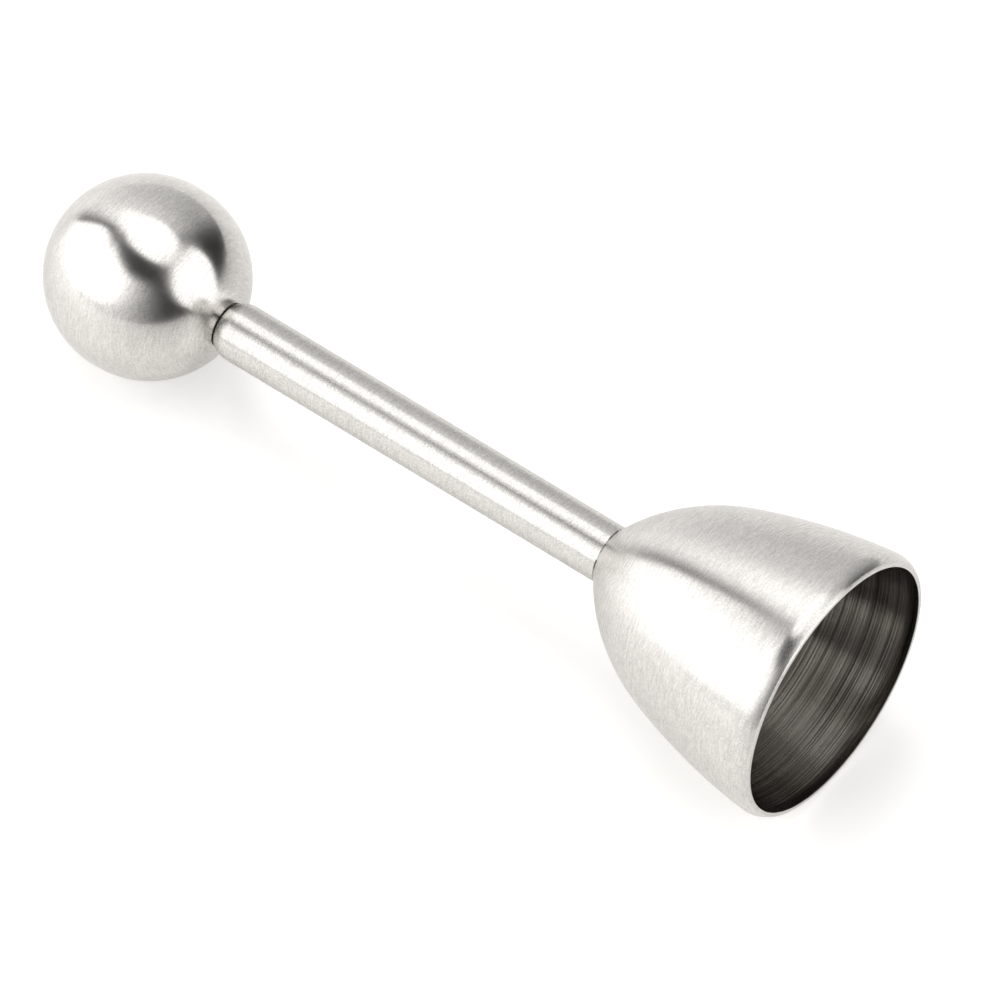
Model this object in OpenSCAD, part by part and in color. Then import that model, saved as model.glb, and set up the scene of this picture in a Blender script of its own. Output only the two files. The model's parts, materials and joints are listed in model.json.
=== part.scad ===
// Egg topper: a drawn steel cup on a slim tube, with a sprung hammer inside that a ball knob pulls back.
// Every piece is drawn as if the tool stood on the cup's mouth: Z runs up the tool's axis from the mouth
// to the ball. laid() then lays the tool down as it rests, on its ball and on the side of its cup.

/* [Cup] */
// Outer diameter of the cup where it is widest
cup_d = 35; // [30:0.5:42]
// Length of the cup from its mouth to the seat of the tube
cup_len = 32.8; // [29:0.1:38]
// Thickness of the cup's sheet
sheet = 0.5; // [0.4:0.05:0.8]
// Outer radius of the arc over the cup's crown
crown_r = 27; // [22:0.5:32]
// Outer radius of the long arc down the cup's side
side_r = 79; // [70:1:90]
// Lean of the side where the lip starts
side_lean = 6; // [4:0.5:9]
// Outer radius of the lip's turn
lip_r = 2.8; // [2.4:0.1:3.4]
// How far the lip turns inwards
lip_turn = 38; // [25:1:42]
// Chamfer on both edges of the rim
rim_chamfer = 0.12; // [0.05:0.01:0.18]
// Diameter of the hole in the crown
crown_hole_d = 4; // [3.6:0.1:5]

/* [Tube] */
// Outer diameter of the tube
tube_d = 7.4; // [7:0.1:9]
// Wall of the tube
tube_wall = 0.6; // [0.5:0.05:0.8]
// Length of the tube from the cup to its spun nose
tube_len = 58.5; // [54:0.5:70]
// Diameter at which the spun nose ends
nose_d = 5.8; // [5.6:0.1:6.2]
// Outer radius of the nose's shoulder
nose_r = 2.9; // [2.6:0.1:3.4]

/* [Ball] */
// Diameter of the ball knob
ball_d = 25; // [20:0.5:30]
// Straight skirt on each half of the ball, before the two are welded
ball_skirt = 0.3; // [0.1:0.05:0.6]
// Wall of the ball's two shells
ball_wall = 0.8; // [0.6:0.1:1.2]
// Diameter of the threaded boss in the ball
boss_d = 6; // [5.5:0.1:7]
// Length of the boss
boss_len = 13; // [11:0.5:15]

/* [Hammer and spring] */
// Diameter of the pull rod
rod_d = 3; // [2.6:0.1:3.2]
// Length of rod screwed into the boss
rod_grip = 9; // [7:0.5:10]
// Length of rod screwed into the hammer
hammer_grip = 8; // [6:0.5:10]
// Length of the hammer
hammer_len = 14; // [12:0.5:16]
// Diameter of the pin through the hammer and the rod
pin_d = 1.2; // [1:0.1:1.4]
// Length of the anvil plug inside the tube
anvil_len = 9; // [8.5:0.5:12]
// Length of the guide bush, without its cone
bush_len = 8; // [6:0.5:9]
// Height of the cone at the bush's upper end
bush_cone = 1.2; // [0.8:0.1:1.4]
// Diameter at the end of that cone
bush_cone_d = 4.2; // [3.8:0.1:4.6]
// Thickness of each spring washer
washer_t = 0.5; // [0.3:0.1:0.8]
// Diameter of the spring's wire
wire_d = 0.6; // [0.5:0.05:0.65]
// Turns of the spring, the closed end turns included
spring_turns = 13; // [10:1:13]

/* [Crown fastening] */
// Thread diameter of the crown screw
screw_d = 3; // [2.5:0.1:3]
// Length of the crown screw under its head
screw_len = 8; // [6:0.5:8]
// Diameter of the crown screw's head
screw_head_d = 5.6; // [5:0.1:6]
// Height of the crown screw's head
screw_head_h = 2; // [1.6:0.1:2.4]
// Size of the hexagon socket across its flats
socket_flats = 2; // [1.5:0.1:2.5]
// Depth of the hexagon socket
socket_depth = 1.2; // [0.8:0.1:1.4]
// Thickness of the crown washer
crown_washer_t = 0.6; // [0.4:0.1:1]
// Thickness of the crown seal
seal_t = 0.4; // [0.3:0.1:0.8]

/* [Fits] */
// Gap between the ball and the tube's nose at rest
ball_gap = 0.2; // [0.1:0.05:0.4]
// Gap between pieces that meet end to end: hammer and anvil, hammer and washer, the spring's closed turns
end_gap = 0.03; // [0.02:0.01:0.1]
// Radial clearance of the rod in its bush
run_fit = 0.04; // [0.02:0.01:0.08]
// Radial clearance of the hammer in the tube
hammer_play = 0.08; // [0.05:0.01:0.15]
// Radial clearance of the spring and its washers in the tube
spring_play = 0.15; // [0.1:0.01:0.25]
// Radial clearance of the washers on the rod and the screw, and their margin inside the crown's flat
washer_play = 0.08; // [0.05:0.01:0.1]
// Radial clearance of brazed, pressed and screwed joints
seat_fit = 0.02; // [0.01:0.01:0.04]

/* [Hidden] */

fine = 180;          // facets of a full turn in the preview
small = 48;          // facets of the small fasteners
sag = 0.004;         // furthest that a chord lies inside its arc, mm
chamfer = 0.3;       // chamfer on turned pieces
past = 1;            // how far a cut reaches past the face it opens
steel = "silver";
dark_steel = "dimgray";

// The points of an arc about centre. One that carries on from another leaves out its first point.
function arc(centre, radius, from, to, carries_on = false) =
    let (chords = ceil(abs(to - from) / (2 * acos(1 - sag / radius))))
    [for (i = [carries_on ? 1 : 0:chords])
        let (a = from + (to - from) * i / chords)
        centre + radius * [cos(a), sin(a)]];

function bearing(v) = atan2(v[1], v[0]);

// ---- Cup: lip, side and crown are three arcs, each tangent to the next ----
lip_centre = [cup_d / 2 - lip_r, lip_r * sin(lip_turn)];
side_centre = lip_centre - (side_r - lip_r) * [cos(side_lean), sin(side_lean)];
seat = [tube_d / 2, cup_len];                    // outer edge of the flat that the tube stands on
seat_reach = norm(seat - side_centre);
centre_gap = side_r - crown_r;
haunch = bearing(seat - side_centre)
       - acos((seat_reach ^ 2 + centre_gap ^ 2 - crown_r ^ 2) / (2 * seat_reach * centre_gap));
crown_centre = side_centre + centre_gap * [cos(haunch), sin(haunch)];
crown_start = bearing(seat - crown_centre);
inner_top = cup_len - sheet;                     // underside of the flat, inside the cup
inner_crown_start = asin((inner_top - crown_centre[1]) / (crown_r - sheet));
inner_flat_r = crown_centre[0] + (crown_r - sheet) * cos(inner_crown_start);

// Angle on the lip's arc of the given radius at height z.
function lip_angle(radius, z) = asin((z - lip_centre[1]) / radius);
function rim_r(radius, z) = lip_centre[0] + radius * cos(lip_angle(radius, z));
rim_out_r = rim_r(lip_r, 0) - rim_chamfer;
rim_in_r = rim_r(lip_r - sheet, 0) + rim_chamfer;

// ---- Tube and what it holds, upwards from the cup ----
bore_r = tube_d / 2 - tube_wall;
nose_z = cup_len + tube_len;
shoulder_turn = acos(1 - (tube_d - nose_d) / 2 / nose_r);
shoulder_z = nose_z - nose_r * sin(shoulder_turn);
shoulder_centre = [tube_d / 2 - nose_r, shoulder_z];
nose_bore_angle = asin((nose_z - shoulder_z) / (nose_r - tube_wall));
anvil_top = cup_len + anvil_len;
hammer_z = anvil_top + end_gap;
hammer_top = hammer_z + hammer_len;
lower_washer_z = hammer_top + end_gap;
spring_z = lower_washer_z + washer_t;
bush_z = shoulder_z - bush_len;
spring_top = bush_z - washer_t;
bush_r = bore_r - seat_fit;
spring_r = bore_r - spring_play;                 // outer radius of the spring and its washers
rod_hole_r = rod_d / 2 + washer_play;            // the washers' holes

// ---- Ball ----
ball_r = ball_d / 2;
boss_z = nose_z + ball_gap;                      // the boss's face, flush with the edge of the ball's hole
front_centre_z = boss_z + sqrt(ball_r ^ 2 - (boss_d / 2) ^ 2);
ball_z = front_centre_z + ball_skirt;            // plane of the weld round the ball
rear_centre_z = ball_z + ball_skirt;
rod_z = hammer_top - hammer_grip;
rod_top = boss_z + rod_grip;
pin_z = hammer_top - hammer_grip / 2;

// ---- Crown fastening, downwards from the crown ----
stack_r = inner_flat_r - washer_play;            // the seal and the washer stay on the flat
seal_z = inner_top - seal_t;
crown_washer_z = seal_z - crown_washer_t;

// ---- The tool at rest: how far its axis leans, and where the origin lies under its middle ----
lie_run = rear_centre_z - lip_centre[1];
lie = atan(lip_centre[0] / lie_run) + asin((lip_r - ball_r) / norm([lie_run, lip_centre[0]]));
lie_height = ball_r + rear_centre_z * sin(lie);
lie_shift = (rear_centre_z * cos(lie) + ball_r - rim_out_r * sin(lie)) / 2;

// Lays a piece down: the mouth faces +X, the ball lies towards -X.
module laid() {
    translate([lie_shift, 0, lie_height]) rotate([0, -90 - lie, 0]) children();
}

// A turned or spun piece, from an outline of [radius, height] points.
module turned(outline) {
    rotate_extrude($fn = fine) polygon(outline);
}

module ring(outer_r, inner_r, z, height) {
    translate([0, 0, z]) difference() {
        cylinder(r = outer_r, h = height, $fn = fine);
        translate([0, 0, -past]) cylinder(r = inner_r, h = height + 2 * past, $fn = fine);
    }
}

// A cylinder with both ends chamfered.
module turned_bar(radius, z, height) {
    turned([[0, z], [radius - chamfer, z], [radius, z + chamfer], [radius, z + height - chamfer],
            [radius - chamfer, z + height], [0, z + height]]);
}

module cup() {
    outside = concat(
        arc(lip_centre, lip_r, lip_angle(lip_r, rim_chamfer), side_lean),
        arc(side_centre, side_r, side_lean, haunch, true),
        arc(crown_centre, crown_r, haunch, crown_start, true));
    inner_r = lip_r - sheet;
    inside = concat(
        arc(crown_centre, crown_r - sheet, inner_crown_start, haunch),
        arc(side_centre, side_r - sheet, haunch, side_lean, true),
        arc(lip_centre, inner_r, side_lean, lip_angle(inner_r, rim_chamfer), true));
    rim = [[rim_in_r, 0], [rim_out_r, 0]];
    hole = [[crown_hole_d / 2, cup_len], [crown_hole_d / 2, inner_top]];
    color(steel) laid() turned(concat(outside, hole, inside, rim));
}

module crown_seal() {
    color("darkred") laid() ring(stack_r, crown_hole_d / 2, seal_z, seal_t);
}

module crown_washer() {
    color(dark_steel) laid() ring(stack_r, screw_d / 2 + washer_play, crown_washer_z, crown_washer_t);
}

module crown_screw() {
    head_z = crown_washer_z - screw_head_h;
    dome = screw_head_h / 2;
    color(dark_steel) laid() difference() {
        union() {
            turned([[0, head_z], [screw_head_d / 2 - dome, head_z], [screw_head_d / 2, head_z + dome],
                    [screw_head_d / 2, crown_washer_z], [0, crown_washer_z]]);
            translate([0, 0, crown_washer_z])
                cylinder(d = screw_d, h = screw_len, $fn = small);
        }
        translate([0, 0, head_z - past])
            cylinder(d = socket_flats / cos(30), h = past + socket_depth, $fn = 6);
    }
}

module anvil() {
    spigot_r = crown_hole_d / 2 - seat_fit;
    tapped_top = crown_washer_z + screw_len + chamfer;
    color(dark_steel) laid() difference() {
        union() {
            turned_bar(bore_r - seat_fit, cup_len, anvil_len);
            translate([0, 0, inner_top]) cylinder(r = spigot_r, h = sheet + chamfer, $fn = fine);
        }
        translate([0, 0, inner_top - past])
            cylinder(r = screw_d / 2 + seat_fit, h = tapped_top - inner_top + past, $fn = small);
    }
}

module tube() {
    outside = arc(shoulder_centre, nose_r, 0, shoulder_turn);
    inside = arc(shoulder_centre, nose_r - tube_wall, nose_bore_angle, 0);
    color(steel) laid()
        turned(concat([[bore_r, cup_len], [tube_d / 2, cup_len]], outside, inside));
}

module guide_bush() {
    cone_top = shoulder_z + bush_cone;
    color("darkkhaki") laid() difference() {
        turned([[0, bush_z], [bush_r, bush_z], [bush_r, shoulder_z], [bush_cone_d / 2, cone_top],
                [0, cone_top]]);
        translate([0, 0, bush_z - past])
            cylinder(r = rod_d / 2 + run_fit, h = cone_top - bush_z + 2 * past, $fn = fine);
    }
}

module upper_spring_washer() {
    color(dark_steel) laid() ring(spring_r, rod_hole_r, spring_top, washer_t);
}

module lower_spring_washer() {
    color(dark_steel) laid() ring(spring_r, rod_hole_r, lower_washer_z, washer_t);
}

// Height of the middle of the spring's wire after t turns: the first and the last turn lie closed.
function coil_height(t) =
    let (closed = wire_d + end_gap,
         open = (spring_top - spring_z - wire_d - 2 * end_gap - 2 * closed) / (spring_turns - 2))
    spring_z + wire_d / 2 + end_gap
    + (min(t, 1) + max(0, t - spring_turns + 1)) * closed
    + max(0, min(t, spring_turns - 1) - 1) * open;

module spring() {
    steps = 20;                                  // rings of the wire in one turn
    sides = 8;                                   // sides of the wire
    rings = spring_turns * steps;
    coil_r = spring_r - wire_d / 2;
    points = [for (i = [0:rings], k = [0:sides - 1])
        let (turn = 360 * i / steps,
             round = 360 * k / sides,
             reach = coil_r + wire_d / 2 * cos(round))
        [reach * cos(turn), reach * sin(turn), coil_height(i / steps) + wire_d / 2 * sin(round)]];
    walls = [for (i = [0:rings - 1], k = [0:sides - 1])
        let (a = i * sides + k, b = i * sides + (k + 1) % sides)
        [a, b, b + sides, a + sides]];
    start = [for (k = [sides - 1:-1:0]) k];
    end = [for (k = [0:sides - 1]) rings * sides + k];
    color("gray") laid() polyhedron(points, concat([start], walls, [end]));
}

module rod() {
    color(steel) laid() difference() {
        turned_bar(rod_d / 2, rod_z + end_gap, rod_top - rod_z - 2 * end_gap);
        pin_hole();
    }
}

// The hole through the hammer and the rod that the pin is pressed into.
module pin_hole() {
    translate([0, 0, pin_z]) rotate([90, 0, 0])
        cylinder(r = pin_d / 2 + seat_fit, h = tube_d, center = true, $fn = small);
}

module hammer() {
    color(dark_steel) laid() difference() {
        turned_bar(bore_r - hammer_play, hammer_z, hammer_len);
        translate([0, 0, rod_z]) cylinder(r = rod_d / 2 + seat_fit, h = hammer_grip + past, $fn = fine);
        pin_hole();
    }
}

module hammer_pin() {
    pin_len = 2 * sqrt((bore_r - hammer_play) ^ 2 - (pin_d / 2) ^ 2);
    color("gray") laid() translate([0, 0, pin_z]) rotate([90, 0, 0])
        cylinder(d = pin_d, h = pin_len, center = true, $fn = small);
}

module ball_boss() {
    color(dark_steel) laid() difference() {
        translate([0, 0, boss_z]) cylinder(d = boss_d, h = boss_len, $fn = fine);
        translate([0, 0, boss_z - past])
            cylinder(r = rod_d / 2 + seat_fit, h = rod_grip + past, $fn = fine);
    }
}

// A quarter of a disc, on a strip as high as the skirt.
module quarter_disc(radius) {
    square([radius, ball_skirt]);
    intersection() {
        translate([0, ball_skirt]) circle(r = radius, $fn = fine);
        translate([0, ball_skirt]) square(radius);
    }
}

// Half of the ball's shell, a dome on a short skirt; z is the plane of the weld.
module half_shell(z) {
    translate([0, 0, z]) rotate_extrude($fn = fine) difference() {
        quarter_disc(ball_r);
        quarter_disc(ball_r - ball_wall);
    }
}

module ball_front() {
    color(steel) laid() difference() {
        translate([0, 0, 2 * ball_z]) mirror([0, 0, 1]) half_shell(ball_z);
        translate([0, 0, boss_z - past])
            cylinder(r = boss_d / 2 + seat_fit, h = past + boss_len, $fn = fine);
    }
}

module ball_rear() {
    color(steel) laid() half_shell(ball_z);
}

cup();
crown_seal();
crown_washer();
crown_screw();
anvil();
tube();
guide_bush();
upper_spring_washer();
spring();
lower_spring_washer();
rod();
hammer();
hammer_pin();
ball_boss();
ball_front();
ball_rear();
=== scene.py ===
# Egg topper in satin stainless steel, lying on its ball and on the side of its cup.
import json
from math import acos, asin, atan2, ceil, cos, hypot, pi, radians, sin, sqrt

import bpy
from mathutils import Matrix, Vector


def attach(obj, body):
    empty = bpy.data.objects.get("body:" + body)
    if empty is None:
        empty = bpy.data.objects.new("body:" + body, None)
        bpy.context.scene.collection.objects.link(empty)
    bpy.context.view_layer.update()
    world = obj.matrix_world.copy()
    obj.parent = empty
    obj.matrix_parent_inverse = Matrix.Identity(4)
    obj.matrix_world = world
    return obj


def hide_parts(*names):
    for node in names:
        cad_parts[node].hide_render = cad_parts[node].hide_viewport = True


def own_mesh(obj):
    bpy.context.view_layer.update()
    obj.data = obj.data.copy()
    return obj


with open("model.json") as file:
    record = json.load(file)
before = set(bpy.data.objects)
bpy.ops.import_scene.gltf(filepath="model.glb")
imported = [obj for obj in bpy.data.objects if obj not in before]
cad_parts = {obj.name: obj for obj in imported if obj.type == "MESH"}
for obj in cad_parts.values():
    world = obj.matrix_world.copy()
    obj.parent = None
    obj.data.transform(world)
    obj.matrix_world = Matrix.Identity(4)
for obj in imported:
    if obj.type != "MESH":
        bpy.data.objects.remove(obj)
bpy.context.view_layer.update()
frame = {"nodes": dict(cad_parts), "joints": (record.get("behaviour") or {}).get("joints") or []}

mm = 0.001
print("frame loaded:", len(frame["nodes"]), "nodes")

# the tool's own frame: origin in the middle of the mouth, Z up the axis to the ball; sizes in mm
sizes = {
    "mouthToBall": 103.9349,   # from the mouth to the weld plane of the ball
    "segments": 192,           # faces round a turned piece
    "sag": 0.0006,             # furthest that a chord lies inside its arc
    "sharpAngle": 24,          # degrees; edges steeper than this stay crisp
    "weld": 1e-5,              # points nearer than this are joined
}
spin = next(j for j in frame["joints"] if j["name"] == "ball_spin")
axis = Vector(spin["axis"]).normalized()
mouth = Vector(spin["pos_m"]) - axis * sizes["mouthToBall"] * mm
side = Vector((0, 1, 0))
toolPlace = Matrix.Translation(mouth) @ Matrix((side.cross(axis), side, axis)).transposed().to_4x4() \
    @ Matrix.Scale(mm, 4)


def addNode(tree, kind, inputs=None, **settings):
    # a socket given as an input is linked, any other value is set
    node = tree.nodes.new(kind)
    for key, value in settings.items():
        setattr(node, key, value)
    for key, value in (inputs or {}).items():
        if isinstance(value, bpy.types.NodeSocket):
            tree.links.new(value, node.inputs[key])
        else:
            node.inputs[key].default_value = value
    return node


def linearColour(hexCode, alpha=1.0):
    # sRGB hex to the linear values that a colour socket takes
    channels = [int(hexCode[i:i + 2], 16) / 255 for i in (0, 2, 4)]
    return [c / 12.92 if c <= 0.04045 else ((c + 0.055) / 1.055) ** 2.4 for c in channels] + [alpha]


def arc(centre, radius, start, end, carriesOn=False):
    # points of an arc in the (radius, height) plane, angles in radians
    chords = max(1, ceil(abs(end - start) / (2 * acos(1 - sizes["sag"] / radius))))
    turns = [start + (end - start) * i / chords for i in range(1 if carriesOn else 0, chords + 1)]
    return [(centre[0] + radius * cos(a), centre[1] + radius * sin(a)) for a in turns]


def straight(start, end, step, carriesOn=False):
    # points of a straight run, no further apart than step
    parts = max(1, ceil(hypot(end[0] - start[0], end[1] - start[1]) / step))
    return [(start[0] + (end[0] - start[0]) * i / parts, start[1] + (end[1] - start[1]) * i / parts)
            for i in range(1 if carriesOn else 0, parts + 1)]


# the outside's satin finish; the other brushed finishes below say only what differs
satin = {
    "steel": "E0DDD9",         # bare 18/8 stainless, a little warm
    "shade": "C4C2BE",         # the same in the shade of a brush line
    "step": 0.22,              # mm between brush lines; real ones, about 0.05 mm, would not show
    "length": 1.6,             # mm that one line keeps its shade round the piece
    "grit": 0.24,              # mm between the specks that the blasting before the brush left
    "gritShare": 0.45,         # how much of the tone the specks make up
    "toneRange": (0.36, 0.64),    # of the noise that runs from the shade to the steel
    "roughness": 0.205,
    "spread": 0.02,            # how far the roughness varies from line to line
    "cloud": 6.25,             # mm between the places where the brush pressed harder
    "noiseRange": (0.3, 0.7),  # what a noise texture mostly keeps to
    "lineDetail": 3.0,         # finer layers that the noise of the lines has
    "lineFade": 0.6,           # how strong each is beside the one before
    "cloudDetail": 2.0,
    "speckDetail": 1.0,
    "relief": 0.16,            # share of the lines' depth that shows
    "depth": 0.02,             # mm
    "smear": 0.7,              # how far highlights stretch along the axis, 1 at most
    "seam": None,              # mm along the outline to the joint with the cup, where a broken line of painted shade lies
    "seamShade": "3A3633",        # colour of the painted shade in the joint's crevice
    "seamEdge": (0.13, 0.08),  # mm from the seam's middle at which the painted shade starts and is full
    "seamCover": 0.85,         # share of the steel that the painted shade hides where it is full
    "seamPatches": 1400,       # to the metre, of the noise that breaks the seam up
    "seamBreaks": (0.40, 0.52),   # of that noise, from bare steel to painted shade
}
tubeSatin = {**satin, "gritShare": 0.6, "roughness": 0.27, "relief": 0.07, "smear": 1.0, "seam": 0.62}
cupSatin = {**satin, "roughness": 0.275, "relief": 0.14, "smear": 0.9}
# drawn and left unpolished: longer lines; its darker steel and line shade are partly that duller finish and
# partly painted shade of the cup's hollow
drawnInsidePaintedShade = {**satin, "steel": "DAD6D0", "shade": "4C4946", "step": 0.15, "length": 34.0,
               "gritShare": 0.05, "roughness": 0.22, "spread": 0.04, "relief": 0.14, "smear": 0.8}


def brushedSteel(name, look):
    # lines run round the axis, so highlights smear along it
    material = bpy.data.materials.new(name)
    material.use_nodes = True
    tree = material.node_tree
    tree.nodes.clear()
    place = addNode(tree, "ShaderNodeTexCoord")
    across = addNode(tree, "ShaderNodeSeparateXYZ", {0: place.outputs["Object"]})
    uv = addNode(tree, "ShaderNodeUVMap", uv_map="turned")
    along = addNode(tree, "ShaderNodeSeparateXYZ", {0: uv.outputs["UV"]})
    # lines: fast along the outline (V is its length in decimetres), slow round the piece
    fast = addNode(tree, "ShaderNodeMath", {0: along.outputs["Y"], 1: 100 / look["step"]},
                   operation="MULTIPLY")
    slowY, slowZ = [addNode(tree, "ShaderNodeMath", {0: across.outputs[axisName], 1: 1000 / look["length"]},
                            operation="MULTIPLY") for axisName in ("Y", "Z")]
    lines = addNode(tree, "ShaderNodeCombineXYZ",
                    {0: fast.outputs[0], 1: slowY.outputs[0], 2: slowZ.outputs[0]})
    brush = addNode(tree, "ShaderNodeTexNoise",
                    {"Vector": lines.outputs[0], "Scale": 1.0, "Detail": look["lineDetail"],
                     "Roughness": look["lineFade"]})
    cloud = addNode(tree, "ShaderNodeTexNoise",
                    {"Vector": place.outputs["Object"], "Scale": 1000 / look["cloud"],
                     "Detail": look["cloudDetail"]})
    grit = addNode(tree, "ShaderNodeTexNoise",
                   {"Vector": place.outputs["Object"], "Scale": 1000 / look["grit"],
                    "Detail": look["speckDetail"]})
    mixed = addNode(tree, "ShaderNodeMix",
                    {0: look["gritShare"], 2: brush.outputs["Fac"], 3: grit.outputs["Fac"]},
                    data_type="FLOAT")
    darkest, lightest = look["toneRange"]
    tone = addNode(tree, "ShaderNodeMapRange",
                   {"Value": mixed.outputs[0], "From Min": darkest, "From Max": lightest})
    base = addNode(tree, "ShaderNodeMix",
                   {0: tone.outputs[0], 6: linearColour(look["shade"]), 7: linearColour(look["steel"])},
                   data_type="RGBA")
    if look["seam"] is not None:
        # a broken dark line of painted shade, in the crevice where the tube meets the cup
        travelled = addNode(tree, "ShaderNodeMath", {0: along.outputs["Y"], 1: 100.0, 2: -look["seam"]},
                            operation="MULTIPLY_ADD")
        beside = addNode(tree, "ShaderNodeMath", {0: travelled.outputs[0]}, operation="ABSOLUTE")
        starts, full = look["seamEdge"]
        seamShade = addNode(tree, "ShaderNodeMapRange",
                         {"Value": beside.outputs[0], "From Min": starts, "From Max": full,
                          "To Max": look["seamCover"]})
        patchy = addNode(tree, "ShaderNodeTexNoise",
                         {"Vector": place.outputs["Object"], "Scale": look["seamPatches"],
                          "Detail": look["speckDetail"]})
        bare, covered = look["seamBreaks"]
        broken = addNode(tree, "ShaderNodeMapRange",
                         {"Value": patchy.outputs["Fac"], "From Min": bare, "From Max": covered})
        dark = addNode(tree, "ShaderNodeMath", {0: seamShade.outputs[0], 1: broken.outputs[0]},
                       operation="MULTIPLY")
        base = addNode(tree, "ShaderNodeMix",
                       {0: dark.outputs[0], 6: base.outputs[2], 7: linearColour(look["seamShade"])},
                       data_type="RGBA")
    low, high = look["noiseRange"]
    roughness, spread = look["roughness"], look["spread"]
    grain = addNode(tree, "ShaderNodeMapRange",
                    {"Value": brush.outputs["Fac"], "From Min": low, "From Max": high,
                     "To Min": roughness + spread, "To Max": roughness - spread})
    uneven = addNode(tree, "ShaderNodeMapRange",
                     {"Value": cloud.outputs["Fac"], "From Min": low, "From Max": high,
                      "To Min": -spread / 2, "To Max": spread / 2})
    rough = addNode(tree, "ShaderNodeMath", {0: grain.outputs[0], 1: uneven.outputs[0]}, operation="ADD")
    bump = addNode(tree, "ShaderNodeBump",
                   {"Height": brush.outputs["Fac"], "Strength": look["relief"],
                    "Distance": look["depth"] * mm})
    roundAxis = addNode(tree, "ShaderNodeTangent", direction_type="UV_MAP", uv_map="turned")
    # a quarter turn lays the smear along the axis
    shader = addNode(tree, "ShaderNodeBsdfPrincipled",
                     {"Base Color": base.outputs[2], "Metallic": 1.0, "Roughness": rough.outputs[0],
                      "Anisotropic": look["smear"], "Anisotropic Rotation": 0.25,
                      "Tangent": roundAxis.outputs[0], "Normal": bump.outputs[0]})
    addNode(tree, "ShaderNodeOutputMaterial", {"Surface": shader.outputs[0]})
    return material


# metal without a brushed finish: its colour, its roughness and how far that varies, and the mm
# between its patches
plainMetals = {
    "groundSteelRod": ("CFCDCA", 0.16, 0.04, 0.8),         # almost a mirror, a little cloudy
    "turnedSteel": ("C2BFBB", 0.3, 0.06, 0.5),             # greyer, with the soft sheen of a fine cut
    "plainSteelFastener": ("C6C4C0", 0.25, 0.06, 0.6),     # smooth and bright, as bought
    "drawnSpringWire": ("A9A6A2", 0.3, 0.06, 0.3),         # darker, still with its drawing film
    "turnedBrass": ("C9A45A", 0.28, 0.06, 0.5),            # the only yellow in the tool
}
plainRelief = {"detail": 3.0, "strength": 0.15, "depth": 0.02}     # the depth in mm


def plainMetal(name, colour, roughness, spread, patch):
    material = bpy.data.materials.new(name)
    material.use_nodes = True
    tree = material.node_tree
    tree.nodes.clear()
    place = addNode(tree, "ShaderNodeTexCoord")
    mottle = addNode(tree, "ShaderNodeTexNoise",
                     {"Vector": place.outputs["Object"], "Scale": 1000 / patch,
                      "Detail": plainRelief["detail"]})
    low, high = satin["noiseRange"]
    rough = addNode(tree, "ShaderNodeMapRange",
                    {"Value": mottle.outputs["Fac"], "From Min": low, "From Max": high,
                     "To Min": roughness - spread, "To Max": roughness + spread})
    bump = addNode(tree, "ShaderNodeBump",
                   {"Height": mottle.outputs["Fac"], "Strength": plainRelief["strength"],
                    "Distance": plainRelief["depth"] * mm})
    shader = addNode(tree, "ShaderNodeBsdfPrincipled",
                     {"Base Color": linearColour(colour), "Metallic": 1.0, "Roughness": rough.outputs[0],
                      "Normal": bump.outputs[0]})
    addNode(tree, "ShaderNodeOutputMaterial", {"Surface": shader.outputs[0]})
    return material


# the eye reads the ball as sandy satin, the tube as long streaks with crisp sides, the cup as a silky sheen
# between the two, and the cup's inside as finely scored metal whose darkness is partly painted shade of the
# hollow
satinBall = brushedSteel("satinSteelBall", satin)
satinTube = brushedSteel("satinSteelTube", tubeSatin)
satinCup = brushedSteel("satinSteelCup", cupSatin)
cupInsidePaintedShade = brushedSteel("drawnSteelInsidePaintedShade", drawnInsidePaintedShade)
groundSteel, turnedSteel, fastenerSteel, springWire, bushBrass = [
    plainMetal(name, *look) for name, look in plainMetals.items()]

rubber = {"colour": "201E1E", "roughness": 0.6, "patch": 0.4, "detail": 2.0, "relief": 0.2, "depth": 0.03}


def sealRubber():
    # moulded nitrile: near black, with a soft sheen and a fine tooth
    material = bpy.data.materials.new("mouldedNitrileSeal")
    material.use_nodes = True
    tree = material.node_tree
    tree.nodes.clear()
    place = addNode(tree, "ShaderNodeTexCoord")
    mottle = addNode(tree, "ShaderNodeTexNoise",
                     {"Vector": place.outputs["Object"], "Scale": 1000 / rubber["patch"],
                      "Detail": rubber["detail"]})
    bump = addNode(tree, "ShaderNodeBump",
                   {"Height": mottle.outputs["Fac"], "Strength": rubber["relief"],
                    "Distance": rubber["depth"] * mm})
    shader = addNode(tree, "ShaderNodeBsdfPrincipled",
                     {"Base Color": linearColour(rubber["colour"]), "Roughness": rubber["roughness"],
                      "Normal": bump.outputs[0]})
    addNode(tree, "ShaderNodeOutputMaterial", {"Surface": shader.outputs[0]})
    return material


blackSeal = sealRubber()
print("materials made")


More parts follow.
